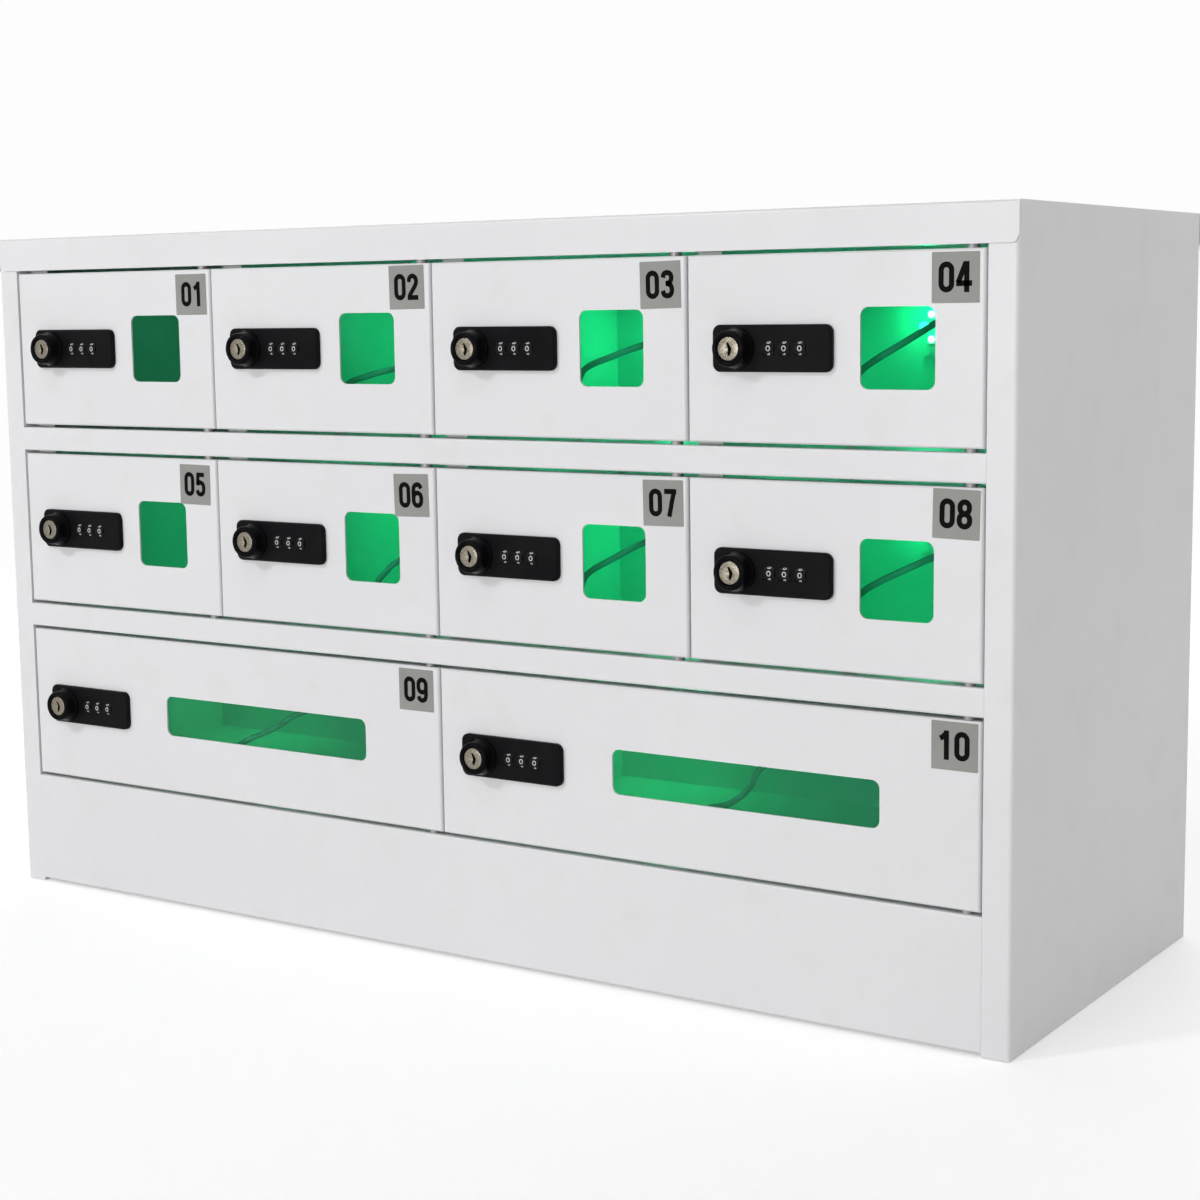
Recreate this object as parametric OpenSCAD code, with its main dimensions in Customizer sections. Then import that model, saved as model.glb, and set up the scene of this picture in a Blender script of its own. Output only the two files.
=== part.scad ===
// Cell phone locker box: a sheet-steel cabinet with ten lockable, lit charging compartments.
// Local frame of every module: x from the left side, y back from the door faces, z up from the floor.

/* [Cabinet] */
// Overall width
cab_w = 700; // [640:1:760]
// Overall height
cab_h = 420; // [412:1:440]
// Depth behind the door faces
cab_d = 260; // [245:1:300]
// Thickness of the sheet steel
sheet = 1.2; // [0.8:0.1:1.5]
// Outside radius of the bends
bend_r = 2; // [1.6:0.1:3]
// Width of each front stile
stile_w = 15.5; // [12:0.5:20]
// Height of the plinth under the bottom row
plinth_h = 71.4; // [60:0.1:80]
// Height of the rail between two rows
rail_h = 14.8; // [13:0.1:20]
// Clear height of a row's opening
row_h = 99.6; // [95:0.1:100]
// Distance of the compartments' rear wall from the door faces
rear_wall_y = 190; // [180:1:195]
// Joint between the top panel's front flange and the stiles
seam = 0.3; // [0.1:0.1:0.5]

/* [Doors] */
// Gap between two doors, and beside a stile
side_gap = 1; // [1:0.1:1.5]
// Gap above and below a door
end_gap = 2; // [1.5:0.1:3]
// Depth of the door's folded edges
door_fold = 10; // [8:0.5:10]
// Distance of the hinge pin from the door's right edge
pin_in = 8.5; // [8:0.1:9]
// Distance of the hinge pin behind the door's face
pin_depth = 4.5; // [4:0.1:4.6]
// Radius of the hinge pin
pin_r = 2; // [1.5:0.1:2]
// Radius of the collar that fills the gap on the hinge pin
collar_r = 3.2; // [3:0.1:4.4]

/* [Windows] */
// Width and height of a single door's window
win_size = 40.5; // [30:0.5:44]
// Distance of a single door's window from the cell's left edge
win_x = 100; // [98:1:103]
// Width of a double door's window
wide_win_w = 161; // [120:1:180]
// Height of a double door's window
wide_win_h = 25; // [20:1:40]
// Distance of a double door's window from the cell's left edge
wide_win_x = 117.5; // [100:0.5:130]
// Corner radius of the windows
win_r = 4.5; // [3:0.1:6]
// Thickness of the clear pane
pane_t = 2; // [1.5:0.1:3]
// Overlap of the pane around the window
pane_lap = 6; // [4:0.5:7]

/* [Locks] */
// Height of the middle of locks and windows above the floor of the opening
lock_z = 50.2; // [48:0.1:52]
// Width of the bezel
bezel_w = 68.5; // [66:0.5:70]
// Height of the bezel
bezel_h = 24; // [24:0.5:28]
// Thickness of the bezel in front of the door
bezel_t = 3; // [2.5:0.1:3.2]
// Corner radius of the bezel
bezel_r = 4.2; // [3:0.1:5]
// Distance of the bezel from the cell's left edge
bezel_x = 17; // [16:0.5:18]
// Distance of the knob's axis from the cell's left edge
knob_x = 31; // [30:0.5:32]
// Reach of the knob in front of the door
knob_out = 12; // [10:0.5:14]
// Radius of the knob at its base
knob_base_r = 10.7; // [10:0.1:11.5]
// Radius of the knob at its front
knob_tip_r = 9; // [8:0.1:10]
// Radius of the key cylinder
key_r = 5.9; // [5:0.1:6.5]
// Depth of the key cylinder's face behind the knob's rim
key_sink = 1; // [0.5:0.1:2]
// Radius of a number wheel
wheel_r = 6.2; // [6:0.1:6.4]
// Width of a number wheel
wheel_w = 6.2; // [5.5:0.1:6.4]
// Distance between two number wheels
wheel_pitch = 9; // [9:0.1:9.5]
// Distance of the first number wheel from the cell's left edge
wheel_x = 50; // [49:0.5:51]

/* [Hidden] */
$fn = 48;
COLS = 4;
SLIP = 0.05;
CLEAR = 0.3;
EPS = 0.5;
STEEL = [0.86, 0.86, 0.87];
BLACK = [0.06, 0.06, 0.07];

// Each door is [column, row from the bottom, columns it spans], from door 01 to door 10.
CELLS = [for (i = [0:9]) i < 4 ? [i, 2, 1] : i < 8 ? [i - 4, 1, 1] : [2 * (i - 8), 0, 2]];
margin = stile_w + side_gap / 2;
cell_w = (cab_w - 2 * margin) / COLS;
row_pitch = row_h + rail_h;
door_h = row_h - 2 * end_gap;
top_z = plinth_h + 2 * row_pitch + row_h;
fold_y = 18;
hem_h = 8;
strike_y = 12.8;
strike_w = 14;
wheel_y = wheel_r - bezel_t - 0.6;
chamber_r = wheel_r + 0.4;
groove_r = 0.5;
groove_out = 0.2;
axle_r = 1.5;
case_x = bezel_x + 3.3;
case_w = bezel_w - 6.6;
case_h = 20.4;
case_d = 16;
spindle_r = 5;
cam_y = 16.5;
cam_t = 2.2;
cam_reach = 24;
cam_w = 10;
foot_lift = 1.5;
edge_r = 0.3;
flange_r = 3.2;
cover_y = cab_d - sheet;
lead_r = 1.75;
led_x = 51;
led_z = [51, 65.3];
board_z = 41.7;
hub = [270, 42, 86];
hub_x = (cab_w - hub[0]) / 2;
hub_z = 284;
inlet = [48, 24, 30];
inlet_x = 560;
inlet_z = 84;

// Route of each charging lead from its grommet to its plug, from the cell's left lower corner.
LEADS = [
    [[150, 188, 81.7], [150, 160, 80.7], [149, 110, 71.7], [148, 65, 60.7],
     [147, 22, 48.7], [146, 18, 38.7], [145, 17, 28], [145, 17, 20]],
    [[150, 188, 81.7], [150, 160, 80.7], [147, 110, 68.7], [142, 62, 53.7],
     [130, 25, 40.7], [108, 18, 34.5], [91, 17, 29], [86, 17, 20]],
    [[150, 188, 81.7], [150, 160, 80.7], [147, 110, 71.7], [139, 65, 60.7], [127, 22, 51.5],
     [109, 18, 45.4], [92, 17.5, 38.7], [87, 17, 29], [86, 17, 20]],
    [[150, 188, 81.7], [150, 160, 81.7], [145, 110, 77.7], [132, 65, 71.7],
     [112, 22, 51.7], [92, 18, 38.7], [87, 17, 28], [86, 17, 20]],
    [[150, 188, 81.7], [150, 160, 80.7], [150, 110, 72.7], [149, 65, 62.7],
     [147, 22, 51.7], [145, 18, 40.7], [144, 17, 29], [144, 17, 20]],
    [[150, 188, 81.7], [150, 160, 80.7], [148, 110, 68.7], [139, 65, 55.7],
     [124, 22, 41.2], [114.5, 19, 33.5], [109.5, 17.5, 27.3], [108, 17, 20]],
    [[150, 188, 81.7], [150, 160, 80.7], [146, 110, 74.7], [140, 65, 67.7], [127, 22, 59.7],
     [108, 18, 50], [91, 17.5, 40.2], [87, 17, 29], [86, 17, 20]],
    [[150, 188, 81.7], [150, 160, 80.7], [148, 110, 74.7], [141, 65, 67.7],
     [129, 22, 59.7], [94, 18, 41.7], [87, 17, 29], [86, 17, 20]],
    [[240, 188, 81.7], [240, 160, 80.7], [236, 110, 73.7], [227, 65, 65.7], [210, 22, 57],
     [190, 18, 45.5], [170, 17.5, 37.2], [159, 17, 30], [156, 17, 20]],
    [[230, 188, 81.7], [230, 160, 80.7], [225, 110, 74.7], [213, 65, 67.7], [199, 24, 57.7],
     [191, 21, 44.7], [180, 19, 35.7], [166, 18, 31.7], [158, 17, 27], [157, 17, 20]]
];

function cell_x(i) = margin + CELLS[i][0] * cell_w;
function cell_z(i) = plinth_h + CELLS[i][1] * row_pitch;
function cell_span(i) = CELLS[i][2] * cell_w;
function door_w(i) = cell_span(i) - side_gap;
function window_size(i) = CELLS[i][2] == 1 ? [win_size, win_size] : [wide_win_w, wide_win_h];
function window_x(i) = CELLS[i][2] == 1 ? win_x : wide_win_x;
function pin_x(i) = cell_span(i) - side_gap / 2 - pin_in;

// Moves the local frame so that the origin is under the middle of the whole object.
module in_frame() {
    translate([-cab_w / 2, (knob_out - cab_d) / 2, 0]) children();
}

module at_cell(i) {
    in_frame() translate([cell_x(i), 0, cell_z(i)]) children();
}

// Extrudes an outline drawn in x and z from y = y0 forward by t.
module front_extrude(y0, t) {
    translate([0, y0, 0]) rotate([90, 0, 0]) linear_extrude(t) children();
}

// Extrudes an outline drawn in y and z from x = x0 over the width w.
module side_extrude(x0, w) {
    translate([x0, 0, 0]) rotate([90, 0, 90]) linear_extrude(w) children();
}

module rounded_rect(w, h, r) {
    translate([r, 0]) square([w - 2 * r, h]);
    translate([0, r]) square([w, h - 2 * r]);
    for (x = [r, w - r], y = [r, h - r]) translate([x, y]) circle(r);
}

// Outline that rounds off the square corner at p when it is subtracted; sx and sy point into the sheet.
module corner_cut(p, sx, sy, r) {
    translate(p) scale([sx, sy]) translate([-EPS, -EPS]) difference() {
        square([r + EPS, r + EPS]);
        translate([r + EPS, r + EPS]) circle(r);
    }
}

// Plan outline of a shallow pan whose two front corners are bent.
module pan_outline(w, d, r) {
    translate([r, 0]) square([w - 2 * r, d]);
    translate([0, r]) square([w, d - r]);
    for (x = [r, w - r]) translate([x, r]) circle(r);
}

// Plan outline of the left side panel: side, front stile with its return from y = front, and rear flange.
module side_outline(front) {
    difference() {
        union() {
            translate([0, front]) square([sheet, cover_y - front]);
            translate([0, front]) square([stile_w, sheet]);
            translate([stile_w - sheet, front]) square([sheet, strike_y - front]);
            translate([0, cover_y - sheet]) square([stile_w, sheet]);
        }
        corner_cut([0, front], 1, 1, bend_r);
        corner_cut([0, cover_y], 1, -1, bend_r);
        corner_cut([stile_w, front], -1, 1, edge_r);
    }
}

// The left side panel; its stile steps back behind the top panel's flange.
module side_panel() {
    step_z = top_z - seam;
    linear_extrude(step_z) side_outline(0);
    translate([0, 0, step_z - EPS]) linear_extrude(cab_h - sheet - step_z + EPS) side_outline(sheet);
    translate([EPS, bend_r, 0]) cube([stile_w - 2 * EPS, cover_y - 2 * bend_r, sheet]);
}

module side_panels() {
    color(STEEL) in_frame() {
        side_panel();
        translate([cab_w, 0, 0]) mirror([1, 0, 0]) side_panel();
    }
}

// Bores for the hinge pins of the doors in one row, at the floor or at the ceiling of their openings.
module pin_bores(row, z) {
    for (i = [0:9]) if (CELLS[i][1] == row)
        translate([cell_x(i) + pin_x(i), pin_depth, z - 4]) cylinder(r = pin_r + SLIP, h = 8);
}

// Folded front edge of a sheet above an opening: return flange and hem.
module ceiling_fold(z) {
    side_extrude(stile_w, cab_w - 2 * stile_w) translate([0, z]) difference() {
        union() {
            square([fold_y, sheet]);
            translate([fold_y - sheet, 0]) square([sheet, hem_h]);
        }
        corner_cut([0, 0], 1, 1, sheet);
    }
}

// Front face of a rail or plinth, with both long edges bent.
module rail_face(z, h) {
    side_extrude(stile_w, cab_w - 2 * stile_w) translate([0, z]) difference() {
        square([sheet, h]);
        corner_cut([0, 0], 1, 1, sheet);
        corner_cut([0, h], 1, -1, sheet);
    }
}

// Top sheet with its front and rear flanges; the lower corners of the front flange are rounded.
module top_panel() {
    flange_h = cab_h - top_z;
    flange_w = cab_w - sheet;
    color(STEEL) in_frame() difference() {
        union() {
            side_extrude(0, cab_w) difference() {
                union() {
                    translate([0, cab_h - sheet]) square([cab_d, sheet]);
                    translate([0, top_z]) square([sheet, flange_h]);
                    translate([cover_y, top_z]) square([sheet, flange_h]);
                }
                corner_cut([0, cab_h], 1, -1, bend_r);
                corner_cut([cab_d, cab_h], -1, -1, bend_r);
            }
            ceiling_fold(top_z);
        }
        pin_bores(2, top_z);
        for (y = [sheet, cab_d]) front_extrude(y + EPS, sheet + 2 * EPS) translate([sheet / 2, top_z]) {
            corner_cut([0, 0], 1, 1, flange_r);
            corner_cut([flange_w, 0], -1, 1, flange_r);
        }
    }
}

// Deck of a row: it reaches the sides behind the stiles' returns.
module deck(z, depth) {
    side_extrude(stile_w, cab_w - 2 * stile_w) translate([0, z - sheet]) difference() {
        square([strike_y + EPS, sheet]);
        corner_cut([0, sheet], 1, -1, sheet);
    }
    translate([sheet, strike_y, z - sheet]) cube([cab_w - 2 * sheet, depth - strike_y, sheet]);
}

module base_panel() {
    color(STEEL) in_frame() difference() {
        union() {
            deck(plinth_h, cover_y - sheet);
            rail_face(foot_lift, plinth_h - foot_lift);
            ceiling_fold(foot_lift);
            translate([stile_w, cover_y - 2 * sheet, 12])
                cube([cab_w - 2 * stile_w, sheet, plinth_h - 12]);
        }
        pin_bores(0, plinth_h);
    }
}

module shelf(row) {
    z = plinth_h + row * row_pitch;
    difference() {
        union() {
            deck(z, rear_wall_y);
            rail_face(z - rail_h, rail_h);
            ceiling_fold(z - rail_h);
        }
        pin_bores(row, z);
        pin_bores(row - 1, z - rail_h);
    }
}

module shelves() {
    color(STEEL) in_frame() {
        shelf(1);
        shelf(2);
    }
}

// Upright between two compartments: a web, and the strike flange that the cam catches.
module divider(top) {
    translate([-sheet / 2, fold_y, 0]) cube([sheet, rear_wall_y - fold_y, top]);
    translate([-sheet / 2, strike_y, 0]) cube([sheet, fold_y - strike_y, row_h]);
    translate([-sheet / 2, strike_y, 0]) cube([strike_w + sheet / 2, sheet, row_h]);
}

module partitions() {
    color(STEEL) in_frame() {
        for (i = [0:9]) translate([cell_x(i), 0, cell_z(i)]) {
            ceiling = CELLS[i][1] == 2 ? cab_h - cell_z(i) - sheet : row_pitch - sheet;
            if (CELLS[i][0] > 0) divider(ceiling);
            else translate([-margin + stile_w - sheet, strike_y, 0])
                cube([margin - stile_w + sheet + strike_w, sheet, row_h]);
        }
        difference() {
            translate([sheet, rear_wall_y, plinth_h])
                cube([cab_w - 2 * sheet, sheet, cab_h - sheet - plinth_h]);
            for (i = [0:9]) translate([cell_x(i) + LEADS[i][0][0], 0, cell_z(i) + LEADS[i][0][2]])
                front_extrude(rear_wall_y + 2, 4) circle(5);
        }
    }
}

// Rows of upright vent slots, and countersunk holes for the cover's screws.
module back_cover() {
    slot = [3, 46];
    color(STEEL) in_frame() difference() {
        translate([bend_r, cover_y, foot_lift])
            cube([cab_w - 2 * bend_r, sheet, top_z - foot_lift - 1]);
        for (x0 = [70, 480], n = [0:14], z0 = [230, 300])
            front_extrude(cab_d + 1, 4) translate([x0 + 10 * n, z0]) square(slot);
        front_extrude(cab_d + 1, 4) translate([inlet_x + 10, inlet_z + 5]) square([28, 20]);
        for (x = [8, cab_w - 8], z = [20, 140, 260, 380])
            translate([x, cab_d, z]) rotate([90, 0, 0])
                cylinder(r1 = 3.2, r2 = 1.8, h = sheet);
    }
}

// Shouldered hinge pin that points up from z = 0, with its collar in the gap and its rivet head below.
module hinge_pin() {
    rotate_extrude() polygon([
        [0, -sheet - 1.2], [3.2, -sheet - 1.2], [3.2, -sheet], [pin_r, -sheet], [pin_r, 0],
        [collar_r, 0], [collar_r, end_gap - 0.1], [pin_r, end_gap - 0.1],
        [pin_r, end_gap + sheet + 1], [pin_r - 0.6, end_gap + sheet + 1.6], [0, end_gap + sheet + 1.6]
    ]);
}

module hinge_pins() {
    color([0.72, 0.72, 0.71]) for (i = [0:9]) at_cell(i) translate([pin_x(i), pin_depth, 0]) {
        hinge_pin();
        translate([0, 0, row_h]) mirror([0, 0, 1]) hinge_pin();
    }
}

// Charging hub with a row of ten ports, on the rear wall, and the power inlet behind the back cover.
module charger() {
    color(BLACK) in_frame() {
        difference() {
            translate([hub_x, rear_wall_y + sheet, hub_z]) cube(hub);
            for (n = [0:9]) translate([hub_x + 18 + 25 * n, rear_wall_y + 15, hub_z + hub[2] - 12])
                cube([13, 6, 13]);
            for (n = [0:11]) translate([hub_x + 20 + 20 * n, rear_wall_y + hub[1] - 2, hub_z + 14])
                cube([6, 5, 50]);
        }
        translate([inlet_x, cover_y - inlet[1], inlet_z]) difference() {
            cube(inlet);
            translate([12, 8, 7]) cube([24, 17, 16]);
            for (z = [4, inlet[2] - 4]) translate([-1, 12, z - 1]) cube([3, 20, 2]);
        }
        for (p = [[17, 12], [24, 17], [31, 12]])
            translate([inlet_x + p[0] - 1, cover_y - 16, inlet_z + p[1] - 2]) cube([2, 12, 4]);
    }
}

// Small light boards on the rear wall, each with two light packages.
module led_modules() {
    color([0.9, 1, 0.95]) for (i = [0:9]) at_cell(i) {
        translate([led_x - 5, rear_wall_y - 1.6, board_z]) cube([10, 1.6, 33]);
        for (z = led_z) translate([led_x - 2.5, rear_wall_y - 2.8, z - 2.5]) cube([5, 1.2, 5]);
    }
}

function unit(v) = v / norm(v);

// Mean direction of a route at its point k.
function heading(path, k) =
    let (a = k > 0 ? unit(path[k] - path[k - 1]) : unit(path[1] - path[0]),
         b = k < len(path) - 1 ? unit(path[k + 1] - path[k]) : a)
    unit(a + b);

// Tube of radius r along a route, with one ring of 8 corners at each point.
module tube(path, r) {
    sides = 8;
    last = len(path) - 1;
    rings = [for (k = [0:last])
        let (dir = k == 0 ? [0, -1, 0] : k == last ? [0, 0, -1] : heading(path, k),
             u = unit(cross(dir, [1, 0, 0])), v = cross(dir, u))
        for (s = [0:sides - 1]) path[k] + r * (cos(45 * s) * u + sin(45 * s) * v)];
    walls = [for (k = [0:last - 1], s = [0:sides - 1])
        let (a = k * sides + s, b = k * sides + (s + 1) % sides)
        each [[a, a + sides, b], [b, a + sides, b + sides]]];
    caps = [for (s = [1:sides - 2]) each [[0, s, s + 1],
        [last * sides, last * sides + s + 1, last * sides + s]]];
    polyhedron(rings, concat(walls, caps));
}

// Charging leads: grommet in the rear wall, lead, and a plug that stands on the floor behind the door.
module charge_leads() {
    color(BLACK) for (i = [0:9]) at_cell(i) {
        start = LEADS[i][0];
        end = LEADS[i][len(LEADS[i]) - 1];
        translate([start[0], 0, start[2]]) {
            front_extrude(rear_wall_y, rear_wall_y - start[1]) circle(6.5);
            front_extrude(rear_wall_y + 5, 5) circle(4.9);
        }
        tube(LEADS[i], lead_r);
        translate([end[0] - 4.5, end[1] - 2.6, end[2] - 13]) cube([9, 5.2, 13]);
        translate([end[0] - 3.4, end[1] - 1.1, end[2] - 19.5]) cube([6.8, 2.2, 6.5]);
    }
}

module door(i) {
    w = door_w(i);
    h = door_h;
    opening = window_size(i);
    color(STEEL) at_cell(i) difference() {
        translate([side_gap / 2, 0, end_gap]) difference() {
            linear_extrude(h) pan_outline(w, door_fold, bend_r);
            translate([0, 0, sheet]) linear_extrude(h - 2 * sheet)
                translate([sheet, sheet]) pan_outline(w - 2 * sheet, door_fold, bend_r - sheet);
            for (z = [0, h]) translate([0, 0, z]) rotate([45, 0, 0])
                cube([2 * w, 1.2, 1.2], center = true);
        }
        front_extrude(sheet + 1, sheet + 2)
            translate([window_x(i), lock_z - opening[1] / 2])
                rounded_rect(opening[0], opening[1], win_r);
        translate([case_x - CLEAR, -1, lock_z - case_h / 2 - CLEAR])
            cube([case_w + 2 * CLEAR, sheet + 2, case_h + 2 * CLEAR]);
        translate([pin_x(i), pin_depth, 0]) cylinder(r = pin_r + SLIP, h = row_h);
    }
}

module window(i) {
    opening = window_size(i);
    color([0.75, 0.95, 0.85, 0.5]) at_cell(i) front_extrude(sheet + pane_t, pane_t)
        translate([window_x(i) - pane_lap, lock_z - opening[1] / 2 - pane_lap])
            rounded_rect(opening[0] + 2 * pane_lap, opening[1] + 2 * pane_lap, 4);
}

// Centre of number wheel n, from the cell's left lower corner.
function wheel_at(n) = [wheel_x + n * wheel_pitch, wheel_y, lock_z];

module lock_case(i) {
    edge = 0.8;
    color(BLACK) at_cell(i) {
        difference() {
            union() {
                hull() {
                    front_extrude(0, bezel_t - edge) translate([bezel_x, lock_z - bezel_h / 2])
                        rounded_rect(bezel_w, bezel_h, bezel_r, $fn = 32);
                    front_extrude(0, bezel_t) translate([bezel_x + edge, lock_z - bezel_h / 2 + edge])
                        rounded_rect(bezel_w - 2 * edge, bezel_h - 2 * edge, bezel_r - edge, $fn = 32);
                }
                translate([case_x, -edge, lock_z - case_h / 2]) cube([case_w, case_d + edge, case_h]);
            }
            for (n = [0:2]) translate(wheel_at(n)) rotate([0, 90, 0])
                cylinder(r = chamber_r, h = wheel_w + 2 * CLEAR, center = true);
            translate([knob_x, 0, lock_z]) front_extrude(case_d + 1, case_d + bezel_t + 2)
                circle(spindle_r + SLIP);
        }
        translate([wheel_x - 5, wheel_y, lock_z]) rotate([0, 90, 0])
            cylinder(r = axle_r, h = 2 * wheel_pitch + 10);
    }
}

// Knob with its key cylinder, spindle and cam; the cam points down while the lock is open.
module lock_knob(i) {
    back = bezel_t + CLEAR;
    key_out = knob_out - key_sink;
    rim = 0.6;
    color(BLACK) at_cell(i) translate([knob_x, 0, lock_z]) {
        rotate([90, 0, 0]) difference() {
            rotate_extrude() polygon([
                [0, -cam_y - cam_t - 2], [3, -cam_y - cam_t - 2], [3, -cam_y], [spindle_r, -cam_y],
                [spindle_r, back], [knob_base_r, back], [knob_base_r, back + 1],
                [knob_tip_r, knob_out - rim], [knob_tip_r - rim, knob_out],
                [key_r + CLEAR, knob_out], [key_r + CLEAR, key_out - rim], [key_r, key_out - rim],
                [key_r, key_out - CLEAR], [key_r - CLEAR, key_out], [0, key_out]
            ]);
            translate([-0.7, -3.4, knob_out - 6]) cube([1.4, 6.8, 7]);
        }
        translate([-cam_w / 2, cam_y, -cam_reach]) cube([cam_w, cam_t, cam_reach + cam_w / 2]);
    }
}

// Three number wheels, each with ten finger grooves.
module lock_dials(i) {
    color(BLACK) at_cell(i) for (n = [0:2]) translate(wheel_at(n)) rotate([0, 90, 0])
        difference() {
            cylinder(r = wheel_r, h = wheel_w, center = true);
            cylinder(r = axle_r + SLIP, h = 2 * wheel_w, center = true);
            for (k = [0:9]) rotate([0, 0, 36 * k]) translate([wheel_r + groove_out, 0, 0])
                cylinder(r = groove_r, h = 2 * wheel_w, center = true);
        }
}

side_panels();
top_panel();
base_panel();
shelves();
partitions();
back_cover();
hinge_pins();
charger();
led_modules();
charge_leads();
door(0);  // door_01
door(1);  // door_02
door(2);  // door_03
door(3);  // door_04
door(4);  // door_05
door(5);  // door_06
door(6);  // door_07
door(7);  // door_08
door(8);  // door_09
door(9);  // door_10
window(0);  // window_01
window(1);  // window_02
window(2);  // window_03
window(3);  // window_04
window(4);  // window_05
window(5);  // window_06
window(6);  // window_07
window(7);  // window_08
window(8);  // window_09
window(9);  // window_10
lock_case(0);  // lock_case_01
lock_case(1);  // lock_case_02
lock_case(2);  // lock_case_03
lock_case(3);  // lock_case_04
lock_case(4);  // lock_case_05
lock_case(5);  // lock_case_06
lock_case(6);  // lock_case_07
lock_case(7);  // lock_case_08
lock_case(8);  // lock_case_09
lock_case(9);  // lock_case_10
lock_knob(0);  // lock_knob_01
lock_knob(1);  // lock_knob_02
lock_knob(2);  // lock_knob_03
lock_knob(3);  // lock_knob_04
lock_knob(4);  // lock_knob_05
lock_knob(5);  // lock_knob_06
lock_knob(6);  // lock_knob_07
lock_knob(7);  // lock_knob_08
lock_knob(8);  // lock_knob_09
lock_knob(9);  // lock_knob_10
lock_dials(0);  // lock_dials_01
lock_dials(1);  // lock_dials_02
lock_dials(2);  // lock_dials_03
lock_dials(3);  // lock_dials_04
lock_dials(4);  // lock_dials_05
lock_dials(5);  // lock_dials_06
lock_dials(6);  // lock_dials_07
lock_dials(7);  // lock_dials_08
lock_dials(8);  // lock_dials_09
lock_dials(9);  // lock_dials_10
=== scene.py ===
import math

import bmesh
import bpy
from mathutils import Matrix, Vector


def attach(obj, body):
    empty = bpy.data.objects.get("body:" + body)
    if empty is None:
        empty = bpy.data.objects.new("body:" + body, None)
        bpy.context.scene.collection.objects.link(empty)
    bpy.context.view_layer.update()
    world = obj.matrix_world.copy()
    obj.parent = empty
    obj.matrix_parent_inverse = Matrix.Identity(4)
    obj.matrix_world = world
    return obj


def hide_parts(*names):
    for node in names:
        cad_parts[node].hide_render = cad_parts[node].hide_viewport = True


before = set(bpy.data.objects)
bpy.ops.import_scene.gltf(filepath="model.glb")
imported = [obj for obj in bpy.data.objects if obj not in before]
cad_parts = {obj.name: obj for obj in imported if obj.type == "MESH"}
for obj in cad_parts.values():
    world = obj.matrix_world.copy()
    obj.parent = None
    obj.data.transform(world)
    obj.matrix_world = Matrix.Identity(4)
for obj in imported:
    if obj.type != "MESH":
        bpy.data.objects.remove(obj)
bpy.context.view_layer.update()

MM = 0.001

# Sizes in metres, repeated from the CAD source. FACE_Y is the plane of the doors' faces.
CAB_W, CAB_D = 0.700, 0.260
KNOB_OUT = 0.012
FACE_Y = (KNOB_OUT - CAB_D) / 2
REAR_WALL_Y = 0.190
# The cells that hold the doors: distance of the first from the side, width, and height of the rows.
MARGIN, CELL_W = 0.016, 0.167
PLINTH_H, ROW_PITCH = 0.0714, 0.1144
# Places in a cell, from its left edge, the doors' faces and its floor.
KNOB_X, LOCK_Z = 0.031, 0.0502
WHEEL_X, WHEEL_Y = 0.050, 0.0026
LED_X, LED_Z = 0.051, (0.0510, 0.0653)
WHEEL_PITCH, WHEEL_R = 0.009, 0.0062
SPINDLE_R = 0.00495
CAM_Y, CAM_T, CAM_HALF_W, CAM_REACH = 0.0165, 0.0022, 0.005, 0.024
LEAD_R = 0.00175

DOORS = ["%02d" % n for n in range(1, 11)]

# Each door is (column, row from the bottom, columns it spans).
CELLS = [(i, 2, 1) for i in range(4)] + [(i, 1, 1) for i in range(4)] + [(0, 0, 2), (2, 0, 2)]

# Route of each charging lead from its grommet to its plug, in millimetres from the cell's left
# lower corner.
LEADS = [
    [[150, 188, 81.7], [150, 160, 80.7], [149, 110, 71.7], [148, 65, 60.7],
     [147, 22, 48.7], [146, 18, 38.7], [145, 17, 28], [145, 17, 20]],
    [[150, 188, 81.7], [150, 160, 80.7], [147, 110, 68.7], [142, 62, 53.7],
     [130, 25, 40.7], [108, 18, 34.5], [91, 17, 29], [86, 17, 20]],
    [[150, 188, 81.7], [150, 160, 80.7], [147, 110, 71.7], [139, 65, 60.7], [127, 22, 51.5],
     [109, 18, 45.4], [92, 17.5, 38.7], [87, 17, 29], [86, 17, 20]],
    [[150, 188, 81.7], [150, 160, 81.7], [145, 110, 77.7], [132, 65, 71.7],
     [112, 22, 51.7], [92, 18, 38.7], [87, 17, 28], [86, 17, 20]],
    [[150, 188, 81.7], [150, 160, 80.7], [150, 110, 72.7], [149, 65, 62.7],
     [147, 22, 51.7], [145, 18, 40.7], [144, 17, 29], [144, 17, 20]],
    [[150, 188, 81.7], [150, 160, 80.7], [148, 110, 68.7], [139, 65, 55.7],
     [124, 22, 41.2], [114.5, 19, 33.5], [109.5, 17.5, 27.3], [108, 17, 20]],
    [[150, 188, 81.7], [150, 160, 80.7], [146, 110, 74.7], [140, 65, 67.7], [127, 22, 59.7],
     [108, 18, 50], [91, 17.5, 40.2], [87, 17, 29], [86, 17, 20]],
    [[150, 188, 81.7], [150, 160, 80.7], [148, 110, 74.7], [141, 65, 67.7],
     [129, 22, 59.7], [94, 18, 41.7], [87, 17, 29], [86, 17, 20]],
    [[240, 188, 81.7], [240, 160, 80.7], [236, 110, 73.7], [227, 65, 65.7], [210, 22, 57],
     [190, 18, 45.5], [170, 17.5, 37.2], [159, 17, 30], [156, 17, 20]],
    [[230, 188, 81.7], [230, 160, 80.7], [225, 110, 74.7], [213, 65, 67.7], [199, 24, 57.7],
     [191, 21, 44.7], [180, 19, 35.7], [166, 18, 31.7], [158, 17, 27], [157, 17, 20]],
]


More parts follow.
